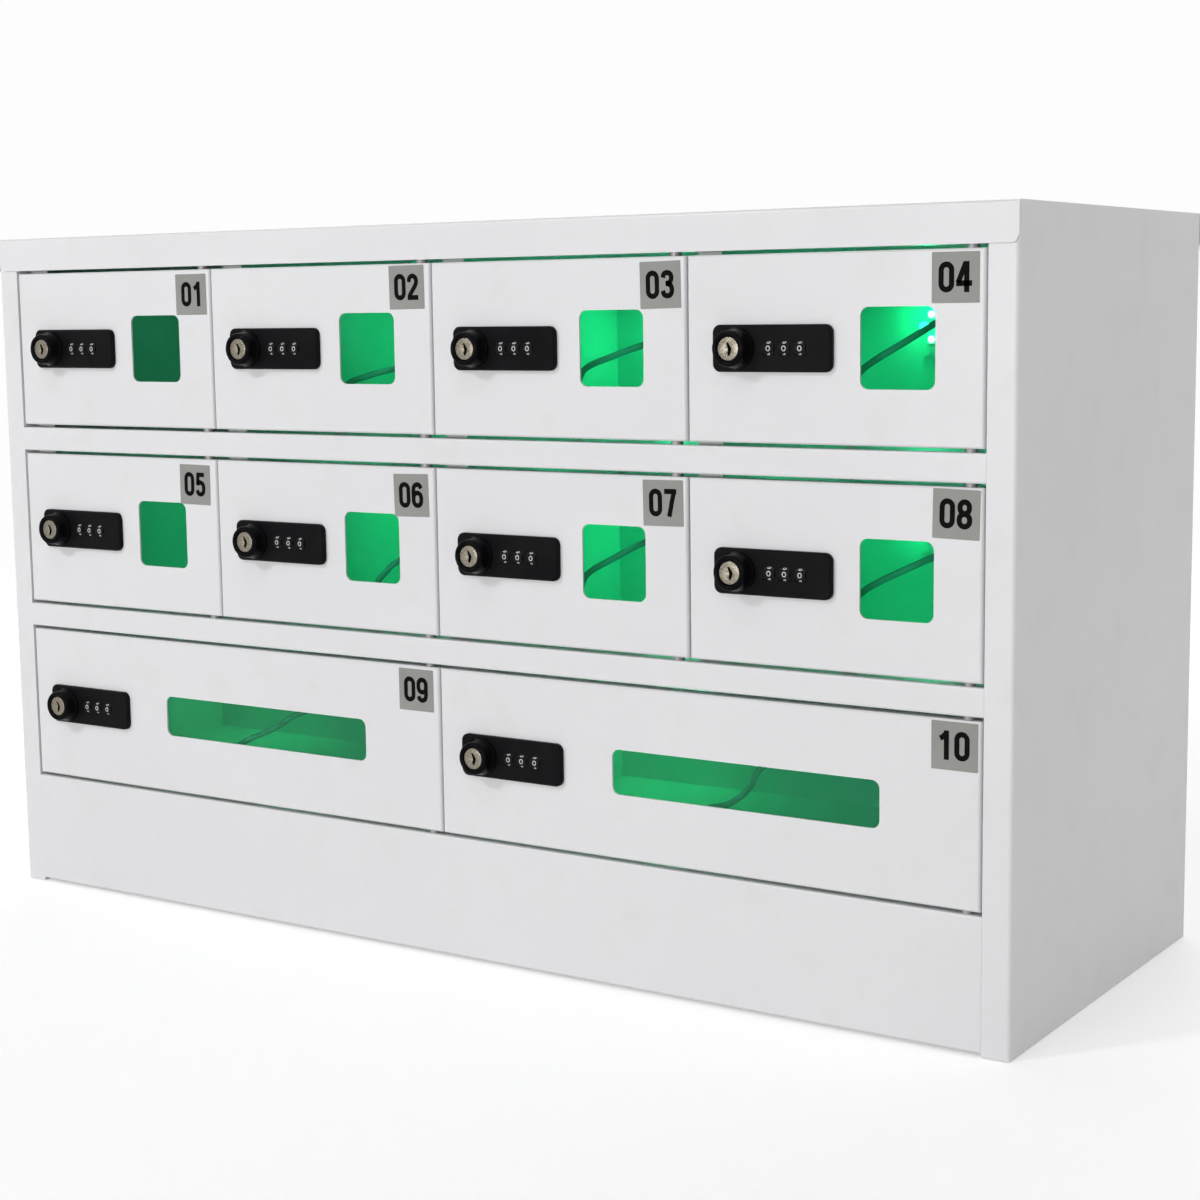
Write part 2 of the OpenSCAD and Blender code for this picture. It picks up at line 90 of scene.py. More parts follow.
def cell_point(i, x, y, z):
    """Row-frame point of a place given from a cell's left lower corner, in metres."""
    column, row, _ = CELLS[i]
    return Vector((
        -CAB_W / 2 + MARGIN + column * CELL_W + x,
        FACE_Y + y,
        PLINTH_H + row * ROW_PITCH + z,
    ))


def cell_span(i):
    return CELLS[i][2] * CELL_W


# ---- camera ----

# Place of the photograph's camera and the directions of its frame.
CAMERA_PLACE = Vector((0.7636, -1.1045, 0.3726))
CAMERA_RIGHT = Vector((0.83338, 0.55255, -0.01331))
CAMERA_DOWN = Vector((0.06215, -0.1176, -0.99111))
CAMERA_FORWARD = Vector((-0.5492, 0.82514, -0.13234))
CAMERA_LENS, SENSOR_W = 66.0, 36
FARTHEST_SEEN = 60


def add_camera():
    """The photograph's camera, found from the cabinet's corners and door gaps."""
    data = bpy.data.cameras.new("camera")
    data.sensor_width = SENSOR_W
    data.lens = CAMERA_LENS
    data.clip_end = FARTHEST_SEEN
    camera = bpy.data.objects.new("camera", data)
    turn = Matrix((CAMERA_RIGHT, -CAMERA_DOWN, -CAMERA_FORWARD)).transposed().to_4x4()
    camera.matrix_world = Matrix.Translation(CAMERA_PLACE) @ turn
    bpy.context.scene.collection.objects.link(camera)
    bpy.context.scene.camera = camera


add_camera()


# ---- node helpers ----

def new_material(name):
    material = bpy.data.materials.new(name)
    material.use_nodes = True
    tree = material.node_tree
    shader = tree.nodes["Principled BSDF"]
    return material, tree, shader


def noise(tree, scale, detail):
    """Noise in object coordinates; scale is the count of features in a metre."""
    coords = tree.nodes.new("ShaderNodeTexCoord")
    texture = tree.nodes.new("ShaderNodeTexNoise")
    texture.inputs["Scale"].default_value = scale
    texture.inputs["Detail"].default_value = detail
    tree.links.new(coords.outputs["Object"], texture.inputs["Vector"])
    return texture.outputs["Fac"]


def spread(tree, value, low, high, start=0.35, end=0.65):
    """Maps a noise value between start and end to the range from low to high."""
    node = tree.nodes.new("ShaderNodeMapRange")
    node.inputs["From Min"].default_value = start
    node.inputs["From Max"].default_value = end
    node.inputs["To Min"].default_value = low
    node.inputs["To Max"].default_value = high
    tree.links.new(value, node.inputs["Value"])
    return node.outputs["Result"]


def tint(tree, value, dark, light):
    """Colour that runs from dark to light with the value."""
    node = tree.nodes.new("ShaderNodeMix")
    node.data_type = "RGBA"
    node.inputs["A"].default_value = (*dark, 1)
    node.inputs["B"].default_value = (*light, 1)
    tree.links.new(value, node.inputs["Factor"])
    return node.outputs["Result"]


def bump(tree, shader, height, depth):
    """Relief from a height between 0 and 1; depth is its full height in metres."""
    node = tree.nodes.new("ShaderNodeBump")
    node.inputs["Strength"].default_value = 1.0
    node.inputs["Distance"].default_value = depth
    tree.links.new(height, node.inputs["Height"])
    tree.links.new(node.outputs["Normal"], shader.inputs["Normal"])


def finish_material(
        name, dark, light, rough, grain, depth, patches, metallic=0.0, shine=0.5):
    """Finish with colour patches, uneven gloss and a fine surface grain.

    The colour runs from dark to light and the roughness over rough; patches and grain are counts
    in a metre, and depth is the height of the grain in metres."""
    material, tree, shader = new_material(name)
    large = noise(tree, patches, 3)
    fine = noise(tree, grain, 3)
    colour = tint(tree, spread(tree, large, 0, 1), dark, light)
    tree.links.new(colour, shader.inputs["Base Color"])
    tree.links.new(spread(tree, large, rough[0], rough[1]), shader.inputs["Roughness"])
    bump(tree, shader, fine, depth)
    shader.inputs["Metallic"].default_value = metallic
    shader.inputs["Specular IOR Level"].default_value = shine
    return material


# ---- materials ----

COAT_COLOURS = (0.752, 0.752, 0.766), (0.775, 0.775, 0.787)
SMUDGE_TINT = (0.965, 0.96, 0.95)
PEEL_DEPTH, GRIT_SHARE = 0.00006, 0.25


def powder_coat():
    """White polyester powder coat: satin, with a faint orange peel and hardly visible smudges."""
    material, tree, shader = new_material("powder_coat")
    cloud = noise(tree, 5, 3)
    smudge = noise(tree, 38, 5)
    peel = noise(tree, 520, 2)
    grit = noise(tree, 2600, 1)
    base = tint(tree, spread(tree, cloud, 0, 1), *COAT_COLOURS)
    marks = tree.nodes.new("ShaderNodeMix")
    marks.data_type = "RGBA"
    marks.blend_type = "MULTIPLY"
    marks.inputs["B"].default_value = (*SMUDGE_TINT, 1)
    tree.links.new(base, marks.inputs["A"])
    tree.links.new(spread(tree, smudge, 0, 0.7, start=0.56, end=0.72), marks.inputs["Factor"])
    tree.links.new(marks.outputs["Result"], shader.inputs["Base Color"])
    gloss = spread(tree, smudge, 0.34, 0.41, start=0.4, end=0.7)
    tree.links.new(gloss, shader.inputs["Roughness"])
    relief = tree.nodes.new("ShaderNodeMath")
    relief.operation = "MULTIPLY_ADD"
    relief.inputs[1].default_value = GRIT_SHARE
    tree.links.new(grit, relief.inputs[0])
    tree.links.new(peel, relief.inputs[2])
    bump(tree, shader, relief.outputs["Value"], PEEL_DEPTH)
    return material


PANE_COLOURS = (0.19, 0.92, 0.63), (0.24, 0.94, 0.67)
# The panes' glow colours and strength are painted light: a faint green emission in the acrylic that
# stands for the compartment's light shining through it.
PANE_PAINTED_GLOW = (0.0, 0.070, 0.022), (0.0, 0.085, 0.027)
PANE_PAINTED_GLOW_STRENGTH = 0.4
PANE_WAVES = 0.00002
# Refractive index of the single and the double doors' panes; it sets how much they reflect.
PANE_IOR, WIDE_PANE_IOR = 1.12, 1.25


def clear_pane(name, ior):
    """Clear acrylic with a painted glow for the compartment's green light in it, a little haze and
    dust.
    """
    material, tree, shader = new_material(name)
    dust = noise(tree, 900, 4)
    haze = noise(tree, 30, 4)
    colour = tint(tree, spread(tree, haze, 0, 1), *PANE_COLOURS)
    tree.links.new(colour, shader.inputs["Base Color"])
    gloss = spread(tree, dust, 0.02, 0.10, start=0.55, end=0.75)
    tree.links.new(gloss, shader.inputs["Roughness"])
    # Painted light: the pane's emission stands in for the compartment's green light, a little
    # uneven with the haze.
    glow = tint(tree, spread(tree, haze, 0, 1), *PANE_PAINTED_GLOW)
    tree.links.new(glow, shader.inputs["Emission Color"])
    shader.inputs["Emission Strength"].default_value = PANE_PAINTED_GLOW_STRENGTH
    shader.inputs["Transmission Weight"].default_value = 1.0
    shader.inputs["IOR"].default_value = ior
    bump(tree, shader, haze, PANE_WAVES)
    return material


NICKEL_COLOURS = (0.20, 0.178, 0.140), (0.27, 0.245, 0.198)
RING_COUNT, RING_DEPTH = 1500, 0.00001


def key_nickel():
    """Turned nickel with fine rings about the key's axis."""
    material, tree, shader = new_material("key_nickel")
    coords = tree.nodes.new("ShaderNodeTexCoord")
    rings = tree.nodes.new("ShaderNodeTexWave")
    rings.wave_type = "RINGS"
    rings.rings_direction = "Y"
    rings.inputs["Scale"].default_value = RING_COUNT
    rings.inputs["Distortion"].default_value = 0.6
    tree.links.new(coords.outputs["Object"], rings.inputs["Vector"])
    worn = noise(tree, 1500, 3)
    colour = tint(tree, spread(tree, worn, 0, 1), *NICKEL_COLOURS)
    tree.links.new(colour, shader.inputs["Base Color"])
    tree.links.new(spread(tree, worn, 0.22, 0.36), shader.inputs["Roughness"])
    shader.inputs["Metallic"].default_value = 1.0
    bump(tree, shader, rings.outputs["Fac"], RING_DEPTH)
    return material


def glowing(name, colour, strength):
    """Light package: a pale body that shines, a little unevenly."""
    unevenness = 0.8
    material, tree, shader = new_material(name)
    cell = noise(tree, 900, 2)
    shade = tuple(unevenness * c for c in colour)
    lit = tint(tree, spread(tree, cell, 0, 1), shade, colour)
    tree.links.new(lit, shader.inputs["Base Color"])
    tree.links.new(lit, shader.inputs["Emission Color"])
    shader.inputs["Emission Strength"].default_value = strength
    shader.inputs["Roughness"].default_value = 0.3
    return material


WHITE_PAINT = powder_coat()
PANE = clear_pane("clear_pane", PANE_IOR)
WIDE_PANE = clear_pane("wide_pane", WIDE_PANE_IOR)
NICKEL = key_nickel()
CASE_BLACK = finish_material(
    "lock_case_black", (0.004, 0.004, 0.005), (0.006, 0.006, 0.007),
    rough=(0.34, 0.46), grain=1900, depth=0.00003, patches=60, shine=0.05)
KNOB_BLACK = finish_material(
    "knob_gloss_black", (0.003, 0.003, 0.004), (0.005, 0.005, 0.006),
    rough=(0.14, 0.22), grain=900, depth=0.00001, patches=90, shine=0.03)
WHEEL_BLACK = finish_material(
    "wheel_black", (0.005, 0.005, 0.006), (0.008, 0.008, 0.009),
    rough=(0.34, 0.46), grain=1800, depth=0.00002, patches=120, shine=0.08)
DIGIT_WHITE = finish_material(
    "digit_white", (0.46, 0.46, 0.45), (0.56, 0.56, 0.55),
    rough=(0.42, 0.55), grain=2400, depth=0.00001, patches=300)
LABEL_GREY = finish_material(
    "label_grey", (0.272, 0.277, 0.260), (0.298, 0.303, 0.286),
    rough=(0.40, 0.50), grain=1500, depth=0.00001, patches=40, shine=0.3)
LABEL_INK = finish_material(
    "label_ink", (0.003, 0.003, 0.003), (0.005, 0.005, 0.005),
    rough=(0.50, 0.62), grain=1700, depth=0.00001, patches=120, shine=0.03)
STEEL = finish_material(
    "zinc_steel", (0.50, 0.50, 0.49), (0.62, 0.62, 0.60),
    rough=(0.28, 0.42), grain=1400, depth=0.00001, patches=220, metallic=1.0)
PIN_STEEL = finish_material(
    "pin_steel", (0.22, 0.22, 0.22), (0.30, 0.30, 0.30),
    rough=(0.35, 0.50), grain=1200, depth=0.00001, patches=150, metallic=0.5)
HUB_BLACK = finish_material(
    "charger_black", (0.016, 0.016, 0.017), (0.024, 0.024, 0.026),
    rough=(0.45, 0.60), grain=1100, depth=0.00005, patches=30)
BOARD = finish_material(
    "light_board", (0.66, 0.72, 0.68), (0.74, 0.80, 0.76),
    rough=(0.35, 0.5), grain=900, depth=0.00002, patches=200)
LEAD_SHEATH = finish_material(
    "lead_sheath", (0.17, 0.17, 0.17), (0.21, 0.21, 0.21),
    rough=(0.55, 0.70), grain=2200, depth=0.00002, patches=90, shine=0.15)
PLUG_GREY = finish_material(
    "plug_grey", (0.20, 0.20, 0.205), (0.26, 0.26, 0.265),
    rough=(0.38, 0.50), grain=1600, depth=0.00003, patches=110)
LED_GLOW = glowing("led_glow", (0.70, 1.0, 0.88), 14.0)

# Finish of each CAD node, or of all nodes that differ only in the door's number.
NODE_FINISH = {
    "side_panels": WHITE_PAINT, "top_panel": WHITE_PAINT, "base_panel": WHITE_PAINT,
    "shelves": WHITE_PAINT, "partitions": WHITE_PAINT, "back_cover": WHITE_PAINT,
    "door": WHITE_PAINT, "window": PANE, "window_09": WIDE_PANE, "window_10": WIDE_PANE,
    "lock_case": CASE_BLACK, "lock_dials": WHEEL_BLACK,
    "hinge_pins": PIN_STEEL, "charger": HUB_BLACK, "led_modules": BOARD,
}


def paint_nodes():
    for name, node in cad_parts.items():
        unnumbered = name[:-len("_01")]
        finish = NODE_FINISH.get(name) or NODE_FINISH.get(unnumbered)
        if finish:
            node.data.materials.clear()
            node.data.materials.append(finish)


paint_nodes()


# ---- mesh helpers ----

def add_piece(name, mesh, material, place, body):
    """A piece at a place in the row frame; it rides on a body and takes a slot's finish."""
    if not mesh.materials:
        mesh.materials.append(material)
    piece = bpy.data.objects.new(name, mesh)
    piece.location = place
    bpy.context.scene.collection.objects.link(piece)
    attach(piece, body)
    return piece


def shade_smooth(mesh, sharp_from):
    """Smooth shading, with edges kept hard from that angle in degrees."""
    mesh.shade_smooth()
    mesh.set_sharp_from_angle(angle=math.radians(sharp_from))


def mesh_from(name, build, sharp_from=40):
    """Mesh made by build(bm), with its hard edges kept and the rest shaded smooth."""
    mesh = bpy.data.meshes.new(name)
    bm = bmesh.new()
    build(bm)
    bmesh.ops.recalc_face_normals(bm, faces=bm.faces)
    bm.to_mesh(mesh)
    bm.free()
    shade_smooth(mesh, sharp_from)
    return mesh


def turns(steps):
    """Angles of the steps round a full turn."""
    return [2 * math.pi * k / steps for k in range(steps)]


def lathe(bm, profile, steps):
    """Turns a profile of (radius, y) points about the Y axis.

    The profile starts and ends on the axis, or closes on itself."""
    rings = []
    for radius, y in profile:
        if radius == 0:
            rings.append([bm.verts.new((0, y, 0))])
            continue
        ring = [(radius * math.cos(a), y, radius * math.sin(a)) for a in turns(steps)]
        rings.append([bm.verts.new(place) for place in ring])
    for a, b in zip(rings, rings[1:]):
        for k in range(steps):
            n = (k + 1) % steps
            corners = [a[k % len(a)], a[n % len(a)], b[n % len(b)], b[k % len(b)]]
            face = list(dict.fromkeys(corners))
            if len(face) > 2:
                bm.faces.new(face)
    if len(rings[0]) > 1 and len(rings[-1]) > 1:
        for k in range(steps):
            n = (k + 1) % steps
            bm.faces.new([rings[-1][k], rings[-1][n], rings[0][n], rings[0][k]])


def loft(bm, sections, steps=32):
    """Closed body through rounded rectangles stacked along z.

    Each section is (x, y, z, width in x, depth in y, corner radius)."""
    rings = []
    for x, y, z, width, depth, radius in sections:
        ring = []
        for k in range(steps):
            a = 2 * math.pi * (k + 0.5) / steps
            cx = math.copysign(max(width / 2 - radius, 0), math.cos(a))
            cy = math.copysign(max(depth / 2 - radius, 0), math.sin(a))
            place = (x + cx + radius * math.cos(a), y + cy + radius * math.sin(a), z)
            ring.append(bm.verts.new(place))
        rings.append(ring)
    for a, b in zip(rings, rings[1:]):
        for k in range(steps):
            n = (k + 1) % steps
            bm.faces.new([a[k], a[n], b[n], b[k]])
    bm.faces.new(rings[0])
    bm.faces.new(rings[-1])


def flat_mesh(name, outlines, depth, edge=0.0):
    """Plate from y = 0 to y = -depth with closed outlines in x and z, the first one outside.

    Its edges are rounded by edge."""
    curve = bpy.data.curves.new(name, "CURVE")
    curve.dimensions = "2D"
    curve.fill_mode = "BOTH"
    for points in outlines:
        spline = curve.splines.new("POLY")
        spline.points.add(len(points) - 1)
        spline.use_cyclic_u = True
        for target, (x, z) in zip(spline.points, points):
            target.co = (x, z, 0, 1)
    curve.extrude = depth / 2 - edge
    curve.bevel_depth = edge
    curve.bevel_resolution = 2
    curve.offset = -edge
    mesh = mesh_of_curve(name, curve)
    stand_up = Matrix.Rotation(math.pi / 2, 4, "X")
    mesh.transform(Matrix.Translation((0, -depth / 2, 0)) @ stand_up)
    return mesh


def evaluated_mesh(name, holder):
    """Mesh of an object as its curve or its modifiers make it."""
    bpy.context.view_layer.update()
    depsgraph = bpy.context.evaluated_depsgraph_get()
    mesh = bpy.data.meshes.new_from_object(holder.evaluated_get(depsgraph))
    mesh.name = name
    return mesh


def mesh_of_curve(name, curve):
    """Mesh of a curve, with its doubled points merged."""
    merge_distance = 1e-7
    holder = bpy.data.objects.new(name + "_curve", curve)
    bpy.context.scene.collection.objects.link(holder)
    mesh = evaluated_mesh(name, holder)
    bpy.data.objects.remove(holder)
    bm = bmesh.new()
    bm.from_mesh(mesh)
    bmesh.ops.remove_doubles(bm, verts=bm.verts, dist=merge_distance)
    bm.to_mesh(mesh)
    bm.free()
    return mesh


def round_outline(width, height, radius, centre=(0, 0), steps=6):
    """Corner points of a rounded rectangle in a plane."""
    points = []
    corners = ((1, 1, 0), (-1, 1, 90), (-1, -1, 180), (1, -1, 270))
    for sx, sy, start in corners:
        for k in range(steps + 1):
            a = math.radians(start + 90 * k / steps)
            x = centre[0] + sx * (width / 2 - radius) + radius * math.cos(a)
            y = centre[1] + sy * (height / 2 - radius) + radius * math.sin(a)
            points.append((x, y))
    return points


def circle_outline(radius, steps):
    return [(radius * math.cos(a), radius * math.sin(a)) for a in turns(steps)]


def backwards(points):
    """The points in reverse order, for a hole or the way back along a ribbon."""
    return list(reversed(points))


# ---- charging leads ----

def smooth_route(points, steps=4):
    """Points along a Catmull-Rom curve through the route, with the ends led on straight."""
    ends = [2 * points[0] - points[1], *points, 2 * points[-1] - points[-2]]
    route = []
    for p0, p1, p2, p3 in zip(ends, ends[1:], ends[2:], ends[3:]):
        for k in range(steps):
            t = k / steps
            route.append(0.5 * (
                2 * p1 + (p2 - p0) * t + (2 * p0 - 5 * p1 + 4 * p2 - p3) * t * t
                + (3 * p1 - p0 - 3 * p2 + p3) * t ** 3))
    return route + [points[-1]]


def lead_curve(name, route):
    curve = bpy.data.curves.new(name, "CURVE")
    curve.dimensions = "3D"
    spline = curve.splines.new("BEZIER")
    spline.bezier_points.add(len(route) - 1)
    for target, place in zip(spline.bezier_points, route):
        target.co = place
        target.handle_left_type = "AUTO"
        target.handle_right_type = "AUTO"
    spline.resolution_u = 4
    curve.bevel_depth = LEAD_R
    curve.bevel_resolution = 3
    curve.use_fill_caps = True
    return curve


def grommet_mesh():
    """Rubber grommet: a rounded flange before the rear wall and a shank through it, with a bore.

    The lead ends in it at y = 0."""
    bore = LEAD_R + 0.0001
    profile = [
        (bore, 0), (bore + 0.0006, -0.0004), (0.0042, -0.0004), (0.0058, 0.0001),
        (0.0065, 0.0009), (0.0065, 0.0020), (0.0049, 0.0020), (0.0049, 0.0064),
        (0.0043, 0.0070), (bore, 0.0070),
    ]
    return mesh_from("lead_grommet", lambda bm: lathe(bm, profile, 48), sharp_from=50)


# Ribs of the plug's strain relief, downwards from its top, and ridges of the grip on each side.
RIB_COUNT, RIB_TOP, RIB_PITCH = 4, 0.0012, 0.0011
RIDGE_COUNT, RIDGE_TOP, RIDGE_PITCH, RIDGE_H = 3, -0.0061, 0.0013, 0.0005


def plug_mesh():
    """Overmoulded plug with a ribbed strain relief, its tip down; z = 0 is the lead's end."""
    def build(bm):
        neck = [(0, 0, 0.0016, 0.0037, 0.0037, 0.00184)]
        for k in range(RIB_COUNT):
            z = RIB_TOP - RIB_PITCH * k
            wide = 0.0046 + 0.0004 * k
            narrow = wide - 0.0008
            neck += [
                (0, 0, z, wide, 0.0044, 0.0020), (0, 0, z - 0.0006, wide, 0.0044, 0.0020),
                (0, 0, z - 0.0007, narrow, 0.0039, 0.0018),
                (0, 0, z - 0.0010, narrow, 0.0039, 0.0018),
            ]
        body = [
            (0, 0, -0.0036, 0.0080, 0.0048, 0.0020), (0, 0, -0.0044, 0.0089, 0.0052, 0.0022),
            (0, 0, -0.0100, 0.0090, 0.0052, 0.0022), (0, 0, -0.0126, 0.0088, 0.0051, 0.0021),
            (0, 0, -0.0130, 0.0082, 0.0046, 0.0018),
        ]
        loft(bm, neck + body)
        for y in (-0.00245, 0.00245):
            for k in range(RIDGE_COUNT):
                top = RIDGE_TOP - RIDGE_PITCH * k
                loft(bm, [
                    (0, y, top - RIDGE_H, 0.0050, 0.0006, 0.00028),
                    (0, y, top, 0.0050, 0.0006, 0.00028),
                ], 16)
    return mesh_from("lead_plug", build)


def plug_tip_mesh():
    """Metal shell of the plug with its rim, and the contact tongue inside."""
    def build(bm):
        loft(bm, [
            (0, 0, -0.0128, 0.0068, 0.0022, 0.0010), (0, 0, -0.0192, 0.0068, 0.0022, 0.0010),
            (0, 0, -0.0195, 0.0064, 0.0019, 0.0009), (0, 0, -0.0192, 0.0059, 0.0014, 0.0006),
            (0, 0, -0.0165, 0.0059, 0.0014, 0.0006),
        ])
        loft(bm, [
            (0, 0, -0.0166, 0.0046, 0.0005, 0.0002), (0, 0, -0.0190, 0.0046, 0.0005, 0.0002),
        ], 12)
    return mesh_from("lead_plug_tip", build)


def add_leads():
    grommet, plug, tip = grommet_mesh(), plug_mesh(), plug_tip_mesh()
    for i, number in enumerate(DOORS):
        route = smooth_route([cell_point(i, *(MM * v for v in p)) for p in LEADS[i]])
        lead = bpy.data.objects.new("lead_" + number, lead_curve("lead_" + number, route))
        lead.data.materials.append(LEAD_SHEATH)
        bpy.context.scene.collection.objects.link(lead)
        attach(lead, "cabinet")
        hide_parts("charge_leads")
        start, end = route[0], route[-1]
        parts = [
            add_piece(
                "lead_grommet_" + number, grommet, LEAD_SHEATH, start, "cabinet"),
            add_piece("lead_plug_" + number, plug, PLUG_GREY, end, "cabinet"),
            add_piece("lead_plug_tip_" + number, tip, STEEL, end, "cabinet"),
        ]


add_leads()


# ---- numerals ----

# Sizes of a numeral one unit high.
STROKE_W, STROKE_DEPTH = 0.185, 0.1
DIGIT_PITCH = 0.62
# Steps of a ring's quarter turns, and between two points of a ribbon.
RING_STEPS, RIBBON_STEPS = 10, 6
# Centre lines of the numerals' strokes: (centre, width, height) of a ring, or a ribbon's points.
DIGIT_STROKES = {
    "0": [((0.27, 0.5), 0.372, 0.815)],
    "1": [[(0.325, 0.0), (0.325, 1.0)], [(0.335, 0.92), (0.21, 0.79), (0.09, 0.72)]],
    "2": [
        [(0.09, 0.68), (0.12, 0.83), (0.27, 0.9075), (0.41, 0.83), (0.445, 0.69), (0.39, 0.54),
         (0.24, 0.34), (0.125, 0.18), (0.10, 0.05)],
        [(0.018, 0.0925), (0.53, 0.0925)],
    ],
    "3": [
        [(0.095, 0.73), (0.135, 0.86), (0.27, 0.9075), (0.40, 0.85), (0.44, 0.72), (0.39, 0.58),
         (0.28, 0.53), (0.20, 0.525)],
        [(0.20, 0.525), (0.30, 0.52), (0.42, 0.44), (0.456, 0.295), (0.41, 0.145), (0.27, 0.0925),
         (0.13, 0.145), (0.085, 0.28)],
    ],
    "4": [
        [(0.37, 0.0), (0.37, 1.0)], [(0.345, 0.97), (0.20, 0.63), (0.065, 0.31)],
        [(0.0, 0.29), (0.56, 0.29)],
    ],
    "5": [
        [(0.49, 0.9075), (0.085, 0.9075)], [(0.15, 0.96), (0.125, 0.47)],
        [(0.095, 0.50), (0.18, 0.575), (0.30, 0.585), (0.42, 0.50), (0.456, 0.33), (0.41, 0.155),
         (0.27, 0.0925), (0.14, 0.145), (0.085, 0.265)],
    ],
    "6": [
        ((0.27, 0.3375), 0.372, 0.49),
        [(0.084, 0.31), (0.084, 0.52), (0.09, 0.71), (0.14, 0.85), (0.28, 0.9075), (0.40, 0.86),
         (0.45, 0.75)],
    ],
    "7": [[(0.02, 0.9075), (0.53, 0.9075)], [(0.445, 0.95), (0.355, 0.60), (0.22, 0.0)]],
    "8": [((0.27, 0.30), 0.372, 0.415), ((0.27, 0.715), 0.33, 0.385)],
    "9": [
        ((0.27, 0.6625), 0.372, 0.49),
        [(0.456, 0.69), (0.456, 0.48), (0.45, 0.29), (0.40, 0.15), (0.26, 0.0925), (0.14, 0.14),
         (0.09, 0.25)],
    ],
}


def ring_mesh(centre, width, height):
    """Flat ring about a centre line of that width and height."""
    radius = min(width, height) / 2
    outlines = []
    for grow in (STROKE_W, -STROKE_W):
        outlines.append(round_outline(
            width + grow, height + grow, radius + grow / 2, centre, RING_STEPS))
    outer, inner = outlines
    return flat_mesh("stroke", [outer, backwards(inner)], STROKE_DEPTH)


def ribbon_mesh(points):
    """Flat ribbon along a centre line through the points."""
    line = smooth_route(points, RIBBON_STEPS) if len(points) > 2 else points
    left, right = [], []
    for k, point in enumerate(line):
        before = line[max(k - 1, 0)]
        after = line[min(k + 1, len(line) - 1)]
        along = (after - before).normalized()
        aside = Vector((-along.y, along.x)) * STROKE_W / 2
        left.append(tuple(point + aside))
        right.append(tuple(point - aside))
    return flat_mesh("stroke", [left + backwards(right)], STROKE_DEPTH)


def stroke_mesh(path, wide):
    """Flat plate along one stroke, drawn out in x by wide."""
    if isinstance(path, tuple):
        (x, z), width, height = path
        return ring_mesh((x * wide, z), width * wide, height)
    return ribbon_mesh([Vector((x * wide, z)) for x, z in path])


def union_mesh(name, meshes):
    """One mesh of several overlapping closed meshes."""
    holders = []
    for mesh in meshes:
        holder = bpy.data.objects.new(name + "_part", mesh)
        bpy.context.scene.collection.objects.link(holder)
        holders.append(holder)
    for holder in holders[1:]:
        union = holders[0].modifiers.new("union", "BOOLEAN")
        union.operation = "UNION"
        union.solver = "EXACT"
        union.object = holder
    mesh = evaluated_mesh(name, holders[0])
    for holder in holders:
        bpy.data.objects.remove(holder)
    return mesh


# ---- locks ----

def knob_mesh():
    """Black conical grip with a rolled rim round the key cylinder; y = 0 is the door's face."""
    profile = [
        (0, -0.0033), (0.0104, -0.0033), (0.0107, -0.0035), (0.0107, -0.0042),
        (0.0104, -0.0046), (0.0101, -0.0052), (0.0099, -0.0064), (0.0096, -0.0082),
        (0.0094, -0.0100), (0.0092, -0.0110), (0.0089, -0.0116), (0.0084, -0.01193),
        (0.0079, -KNOB_OUT), (0.0073, -0.01193), (0.0068, -0.0116), (0.0064, -0.0110),
        (0.0063, -0.0104), (0.0063, -0.0090), (0, -0.0090),
    ]
    return mesh_from("knob", lambda bm: lathe(bm, profile, 96), sharp_from=50)


# Outline of the keyway in millimetres, and the beads of its ward: (x, z, radius).
KEYWAY = [
    (-1.1, 3.1), (0.1, 3.1), (1.2, 1.5), (2.1, 0.0), (1.6, -1.7), (1.0, -3.4), (-0.4, -3.4),
    (-0.2, -2.0), (0.1, -0.5), (-0.3, 1.1),
]
WARD_BEADS = [(-1.15, -1.9, 0.85), (-1.05, 0.75, 0.60)]
KEY_R, KEY_DEPTH, KEY_FACE_Y, KEY_EDGE = 0.0060, 0.0020, -0.0110, 0.0002
BEAD_FLATNESS = 0.6


def key_cylinder_mesh():
    """Nickel key cylinder with its keyway and the two beads of the ward beside it."""
    rim = circle_outline(KEY_R, 72)
    hole = [(MM * x, MM * z) for x, z in KEYWAY]
    face = flat_mesh("key_cylinder", [rim, backwards(hole)], KEY_DEPTH, KEY_EDGE)
    face.transform(Matrix.Translation((0, KEY_FACE_Y + KEY_DEPTH, 0)))
    bm = bmesh.new()
    bm.from_mesh(face)
    for x, z, radius in WARD_BEADS:
        sphere = bmesh.ops.create_uvsphere(bm, u_segments=20, v_segments=12, radius=MM * radius)
        bead = sphere["verts"]
        bmesh.ops.scale(bm, vec=(1, BEAD_FLATNESS, 1), verts=bead)
        bmesh.ops.translate(bm, vec=(MM * x, KEY_FACE_Y, MM * z), verts=bead)
    bm.to_mesh(face)
    bm.free()
    shade_smooth(face, 35)
    return face


def keyway_mesh():
    """Black disc at the floor of the keyway: painted shade for the depth of the slot."""
    profile = [(0, -0.0091), (0.0042, -0.0091), (0.0042, -0.0094), (0, -0.0094)]
    return mesh_from("keyway", lambda bm: lathe(bm, profile, 32))


def spindle_mesh():
    """Steel spindle behind the knob, with the screw that holds the cam."""
    shaft = [
        (0, -0.0034), (SPINDLE_R, -0.0034), (SPINDLE_R, 0.0163), (0.0046, CAM_Y), (0, CAM_Y),
    ]
    head = [
        (0, 0.0187), (0.0030, 0.0187), (0.0030, 0.0197), (0.0026, 0.0204), (0.0018, 0.0207),
        (0.0017, 0.0203), (0, 0.0203),
    ]

    def build(bm):
        lathe(bm, shaft, 48)
        lathe(bm, head, 40)
    return mesh_from("lock_spindle", build)


CAM_EDGE = 0.0002


